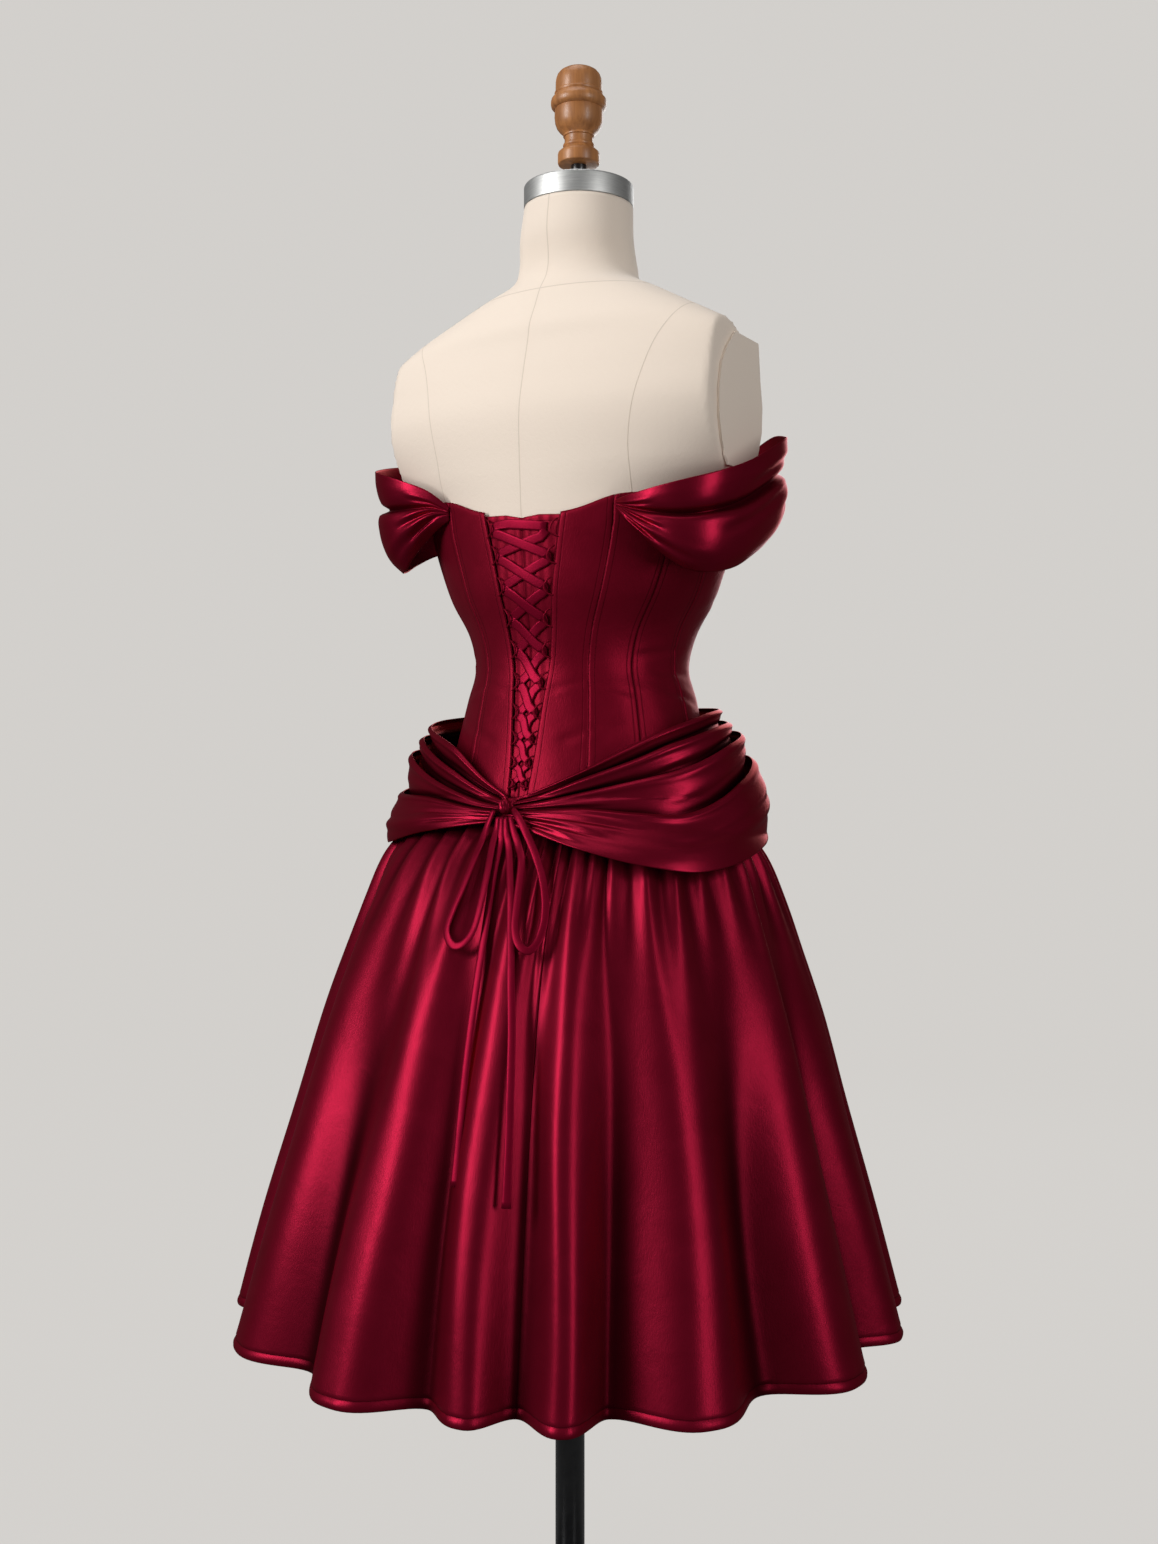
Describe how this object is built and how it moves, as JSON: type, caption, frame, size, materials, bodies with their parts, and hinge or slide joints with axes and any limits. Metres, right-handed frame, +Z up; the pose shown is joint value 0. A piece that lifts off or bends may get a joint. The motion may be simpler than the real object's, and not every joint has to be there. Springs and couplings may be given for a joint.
{
  "type": "short prom dress on a limbless dress form with stand",
  "caption": "Short off-shoulder satin prom dress with a lace-up corset back, draped hip sash and gathered skirt, worn on a limbless dress form with a round-based stand.",
  "frame": {"origin": "centre of the stand base's underside, on the axis of the pole", "axes": "+Z up the pole, -Y the way the wearer faces, -X to the wearer's right"},
  "size_m": [0.7018, 0.7006, 1.661],
  "materials": {
    "dress_satin": "crimson satin, semi-matte",
    "skirt_satin": "crimson satin, glossy",
    "lacing_ribbon": "narrow crimson satin ribbon",
    "form_cover": "cream jersey cover, matte",
    "neck_steel": "brushed",
    "finial_wood": "turned and varnished",
    "stand_enamel": "black semi-gloss enamel"
  },
  "bodies": {
    "root": {"armhole_plate_left": "form_cover", "armhole_plate_right": "form_cover", "base_collar": "stand_enamel", "bodice_back_left": "dress_satin", "bodice_back_right": "dress_satin", "bodice_centre_front": "dress_satin", "bodice_side_back_left": "dress_satin", "bodice_side_back_right": "dress_satin", "bodice_side_front_left": "dress_satin", "bodice_side_front_right": "dress_satin", "bodice_side_left": "dress_satin", "bodice_side_right": "dress_satin", "bow_loop_left": "lacing_ribbon", "bow_loop_right": "lacing_ribbon", "bow_tail_left": "lacing_ribbon", "bow_tail_right": "lacing_ribbon", "finial": "finial_wood", "finial_rod": "stand_enamel", "form_torso": "form_cover", "lace_first": "lacing_ribbon", "lace_loop_left_1": "dress_satin", "lace_loop_left_10": "dress_satin", "lace_loop_left_2": "dress_satin", "lace_loop_left_3": "dress_satin", "lace_loop_left_4": "dress_satin", "lace_loop_left_5": "dress_satin", "lace_loop_left_6": "dress_satin", "lace_loop_left_7": "dress_satin", "lace_loop_left_8": "dress_satin", "lace_loop_left_9": "dress_satin", "lace_loop_right_1": "dress_satin", "lace_loop_right_10": "dress_satin", "lace_loop_right_2": "dress_satin", "lace_loop_right_3": "dress_satin", "lace_loop_right_4": "dress_satin", "lace_loop_right_5": "dress_satin", "lace_loop_right_6": "dress_satin", "lace_loop_right_7": "dress_satin", "lace_loop_right_8": "dress_satin", "lace_loop_right_9": "dress_satin", "lace_second": "lacing_ribbon", "modesty_panel": "dress_satin", "neck_cap": "neck_steel", "pole": "stand_enamel", "sash_fold_1": "dress_satin", "sash_fold_2": "dress_satin", "sash_fold_3": "dress_satin", "sash_fold_4": "dress_satin", "sash_knot": "dress_satin", "skirt_back_left": "skirt_satin", "skirt_back_right": "skirt_satin", "skirt_front": "skirt_satin", "sleeve_left": "dress_satin", "sleeve_right": "dress_satin", "stand_base": "stand_enamel"}
  },
  "joints": []
}
